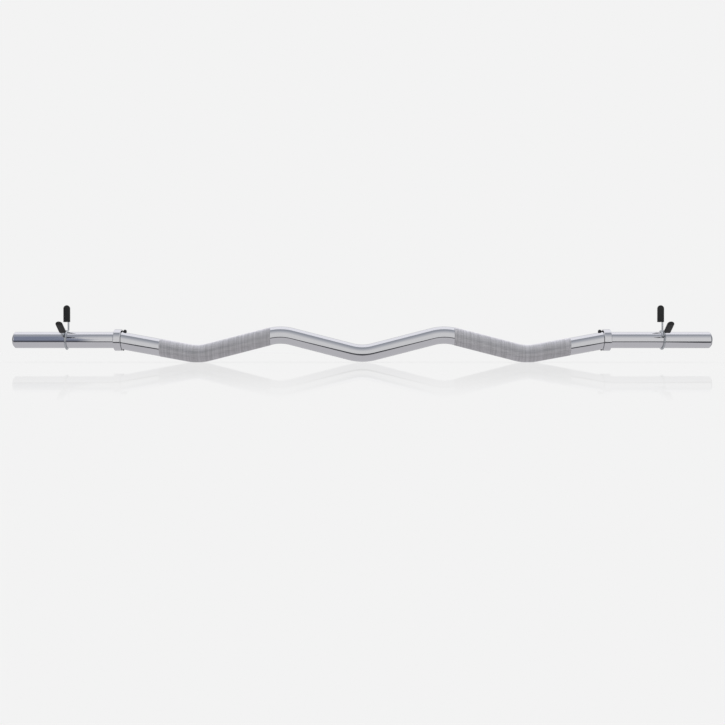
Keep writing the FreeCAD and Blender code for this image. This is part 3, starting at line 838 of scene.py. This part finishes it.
def make_floor():
    """Pale satin board: it faintly mirrors the bar at a grazing look and is matt from any higher."""
    floor = plain_sheet("studio_floor", FLOOR_SIZE, (0, 0, FLOOR_Z))
    material, tree = new_material("pale_gloss_floor")
    grazing = node(tree, "ShaderNodeLayerWeight", Blend=0.5).outputs["Facing"]
    polish = node(tree, "ShaderNodeMapRange", links={"Value": grazing},
                  From_Min=POLISH_FACING[0], From_Max=POLISH_FACING[1],
                  To_Min=0.0, To_Max=POLISH).outputs["Result"]
    paper = node(tree, "ShaderNodeBsdfDiffuse", Color=colour("#f7f7f7"))
    glow = node(tree, "ShaderNodeEmission", Color=colour(PAPER))
    board = node(tree, "ShaderNodeMixShader",
                 links={1: paper.outputs["BSDF"], 2: glow.outputs["Emission"]}, Fac=0.6)
    gloss = node(tree, "ShaderNodeBsdfGlossy", Color=colour("#ffffff"), Roughness=0.012)
    both = node(tree, "ShaderNodeMixShader",
                links={0: polish, 1: board.outputs["Shader"], 2: gloss.outputs["BSDF"]})
    node(tree, "ShaderNodeOutputMaterial", links={"Surface": both.outputs["Shader"]})
    coat(material, floor)
    seen_only_by(floor, "camera", "diffuse", "transmission", "shadow")


def make_mirror_floor():
    """What polished metal sees as the floor: greyer near the bar, with a dark line each side of it.

    The line lies further off and is narrower where the bar is high. It is narrower along the
    sleeves too, and widens at the right end.
    """
    board = plain_sheet("reflected_floor", FLOOR_SIZE, (0, 0, FLOOR_Z - BOARD_DROP))
    material, tree = new_material("reflected_floor_paper")
    place = node(tree, "ShaderNodeTexCoord").outputs["Object"]
    axes = node(tree, "ShaderNodeSeparateXYZ", links={"Vector": place}).outputs
    along = node(tree, "ShaderNodeMath", {"operation": "ABSOLUTE"}, {0: axes["X"]}).outputs["Value"]
    across = node(tree, "ShaderNodeMath", {"operation": "ABSOLUTE"}, {0: axes["Y"]}).outputs["Value"]
    bent = node(tree, "ShaderNodeMath", {"operation": "MINIMUM"},
                {0: along, 1: LINE_LEVEL_X}).outputs["Value"]
    height = node(tree, "ShaderNodeMath", {"operation": "PINGPONG"},
                  {0: bent, 1: BEND_SPACING}).outputs["Value"]
    near = node(tree, "ShaderNodeMapRange", links={"Value": height}, From_Max=BEND_SPACING,
                To_Min=LINE_NEAR["low"], To_Max=LINE_NEAR["high"]).outputs["Result"]
    far = node(tree, "ShaderNodeMapRange", links={"Value": height}, From_Max=BEND_SPACING,
               To_Min=LINE_FAR["low"], To_Max=LINE_FAR["high"]).outputs["Result"]
    waist = node(tree, "ShaderNodeMapRange", links={"Value": along},
                 From_Min=LINE_SLEEVE_X[0], From_Max=LINE_SLEEVE_X[1],
                 To_Min=0.0, To_Max=LINE_SLEEVE_SHIFT).outputs["Result"]
    flare = node(tree, "ShaderNodeMapRange", links={"Value": axes["X"]},
                 From_Min=LINE_FLARE_X[0], From_Max=LINE_FLARE_X[1],
                 To_Min=0.0, To_Max=LINE_FLARE).outputs["Result"]
    drawn_in = node(tree, "ShaderNodeMath", {"operation": "ADD"}, {0: near, 1: waist}).outputs["Value"]
    start = node(tree, "ShaderNodeMath", {"operation": "SUBTRACT"},
                 {0: drawn_in, 1: flare}).outputs["Value"]
    reach = node(tree, "ShaderNodeMapRange",
                 links={"Value": across, "From Min": start, "From Max": far}).outputs["Result"]
    tones = node(tree, "ShaderNodeValToRGB", links={"Fac": reach})
    paint(tones.color_ramp, [(0.0, "#d8d7da"), (0.14, "#4e4f54"), (0.82, "#4e4f54"), (1.0, PAPER)])
    glow = node(tree, "ShaderNodeEmission", links={"Color": tones.outputs["Color"]})
    node(tree, "ShaderNodeOutputMaterial", links={"Surface": glow.outputs["Emission"]})
    coat(material, board)
    seen_only_by(board, "glossy")


def make_left_flag():
    """A blue-grey flag in front on the left, which darkens the left sleeve and nothing else."""
    low = FLOOR_Z - FLAG_DROP
    root_front_y = FLAG_ROOT_Y - FLAG_ROOT_WIDTH / 2
    flag = plain_sheet("left_flag", FLAG_ROOT_WIDTH, (FLAG_ROOT_X, FLAG_ROOT_Y, low))
    bpy.ops.object.mode_set(mode="EDIT")
    pick(flag, "edges", lambda edge: all(v.co.y < FLAG_ROOT_Y for v in edge.verts))
    bpy.ops.transform.translate(value=(FLAG_FRONT_X - FLAG_ROOT_X, FLAG_FRONT_Y - root_front_y, 0))
    bpy.ops.transform.resize(value=(FLAG_FRONT_WIDTH / FLAG_ROOT_WIDTH, 1, 1),
                             center_override=(FLAG_FRONT_X, FLAG_FRONT_Y, low))
    bpy.ops.mesh.extrude_region_move(TRANSFORM_OT_translate={"value": (FLAG_LEAN, 0, FLAG_HEIGHT)})
    bpy.ops.transform.resize(value=(FLAG_SPREAD, 1, 1),
                             center_override=(FLAG_FRONT_X + FLAG_LEAN, FLAG_FRONT_Y, FLAG_HEIGHT))
    bpy.ops.object.mode_set(mode="OBJECT")
    material, tree = new_material("left_flag_cloth")
    place = node(tree, "ShaderNodeTexCoord").outputs["Object"]
    axes = node(tree, "ShaderNodeSeparateXYZ", links={"Vector": place}).outputs
    square = node(tree, "ShaderNodeMapping", links={"Vector": place}, Scale=(0, 1, 1)).outputs["Vector"]
    reach = node(tree, "ShaderNodeVectorMath", {"operation": "LENGTH"}, {0: square}).outputs["Value"]
    away = node(tree, "ShaderNodeMath", {"operation": "ADD"},
                {0: CAMERA_REACH, 1: reach}).outputs["Value"]
    slant = node(tree, "ShaderNodeMath", {"operation": "DIVIDE"},
                 {0: axes["X"], 1: away}).outputs["Value"]
    side = node(tree, "ShaderNodeMapRange", links={"Value": slant},
                From_Min=FLAG_FADE_SLANT[0], From_Max=FLAG_FADE_SLANT[1]).outputs["Result"]
    top = node(tree, "ShaderNodeMapRange", links={"Value": axes["Z"]},
               From_Min=FLAG_FADE_Z[0], From_Max=FLAG_FADE_Z[1]).outputs["Result"]
    faded = node(tree, "ShaderNodeMath", {"operation": "MAXIMUM"}, {0: side, 1: top}).outputs["Value"]
    near = node(tree, "ShaderNodeMapRange", links={"Value": axes["Y"]},
                From_Min=FLAG_DARK_Y[0], From_Max=FLAG_DARK_Y[1]).outputs["Result"]
    tone = node(tree, "ShaderNodeMix", {"data_type": "RGBA"}, {"Factor": near},
                A=colour("#9097aa"), B=colour("#63656f"))
    glow = node(tree, "ShaderNodeEmission", links={"Color": tone.outputs["Result"]})
    clear = node(tree, "ShaderNodeBsdfTransparent")
    both = node(tree, "ShaderNodeMixShader",
                links={0: faded, 1: glow.outputs["Emission"], 2: clear.outputs["BSDF"]})
    node(tree, "ShaderNodeOutputMaterial", links={"Surface": both.outputs["Shader"]})
    coat(material, flag)
    seen_only_by(flag, "glossy")


def make_end_cards():
    """A grey card past each end, which gives the chamfers and the upright wires a dark edge."""
    material, tree = new_material("end_card_cloth")
    glow = node(tree, "ShaderNodeEmission", Color=colour("#5a5f6c"))
    node(tree, "ShaderNodeOutputMaterial", links={"Surface": glow.outputs["Emission"]})
    for name, x in (("left_end_card", -END_CARD_X), ("right_end_card", END_CARD_X)):
        card = plain_sheet(name, END_CARD_SIZE, (x, END_CARD_Y, FLOOR_Z + END_CARD_SIZE / 2), ALONG_X)
        coat(material, card)
        seen_only_by(card, "glossy")


def make_softbox():
    """A white panel overhead and behind, which only polished metal shows."""
    panel = plain_sheet("overhead_softbox", 1.0, SOFTBOX_MIDDLE)
    bpy.ops.object.mode_set(mode="EDIT")
    bpy.ops.mesh.select_all(action="SELECT")
    bpy.ops.transform.resize(value=SOFTBOX_SIZE, center_override=SOFTBOX_MIDDLE)
    bpy.ops.object.mode_set(mode="OBJECT")
    material, tree = new_material("softbox_cloth")
    glow = node(tree, "ShaderNodeEmission", Color=colour("#fafaff"), Strength=1.22)
    node(tree, "ShaderNodeOutputMaterial", links={"Surface": glow.outputs["Emission"]})
    coat(material, panel)
    seen_only_by(panel, "glossy")


def make_sky():
    """Even light, seen and mirrored as a sky that is paper white low down and greyer overhead."""
    world = bpy.data.worlds.new("studio_sky")
    world.use_nodes = True
    tree = world.node_tree
    tree.nodes.clear()
    direction = node(tree, "ShaderNodeTexCoord").outputs["Generated"]
    height = node(tree, "ShaderNodeSeparateXYZ", links={"Vector": direction}).outputs["Z"]
    bands = node(tree, "ShaderNodeValToRGB", links={"Fac": height})
    paint(bands.color_ramp, [(0.0, PAPER), (0.39, PAPER), (0.60, "#dfe0e3"), (0.79, "#c5c8ce"),
                             (0.91, "#aeb2ba"), (1.0, "#aaaeb6")])
    rays = node(tree, "ShaderNodeLightPath").outputs
    mirrored = node(tree, "ShaderNodeMath", {"operation": "MAXIMUM"},
                    {0: rays["Is Glossy Ray"], 1: rays["Is Transmission Ray"]}).outputs["Value"]
    shown = node(tree, "ShaderNodeMath", {"operation": "MAXIMUM"},
                 {0: rays["Is Camera Ray"], 1: mirrored}).outputs["Value"]
    seen = node(tree, "ShaderNodeBackground", links={"Color": bands.outputs["Color"]})
    light = node(tree, "ShaderNodeBackground", Color=colour("#ffffff"), Strength=0.963)
    both = node(tree, "ShaderNodeMixShader",
                links={0: shown, 1: light.outputs["Background"], 2: seen.outputs["Background"]})
    node(tree, "ShaderNodeOutputWorld", links={"Surface": both.outputs["Shader"]})
    bpy.context.scene.world = world


make_floor()
make_mirror_floor()
make_left_flag()
make_end_cards()
make_sky()
make_softbox()

# Camera: a 50 mm lens almost level with the floor, as in the photograph
CAMERA_AIM = Vector((0.3, 0.0, -31.7)) * MM
CAMERA_LIFT = math.radians(0.6)
lens = bpy.data.cameras.new("studio_camera")
lens.lens = 50.0
lens.sensor_width = 36.0
lens.clip_start = 0.01
camera = bpy.data.objects.new("studio_camera", lens)
bpy.context.scene.collection.objects.link(camera)
camera.location = CAMERA_AIM + Vector((0, -math.cos(CAMERA_LIFT), math.sin(CAMERA_LIFT))) * CAMERA_REACH
camera.rotation_euler = (math.pi / 2 - CAMERA_LIFT, 0.0, 0.0)
bpy.context.scene.camera = camera
bpy.context.scene.view_settings.view_transform = "Standard"
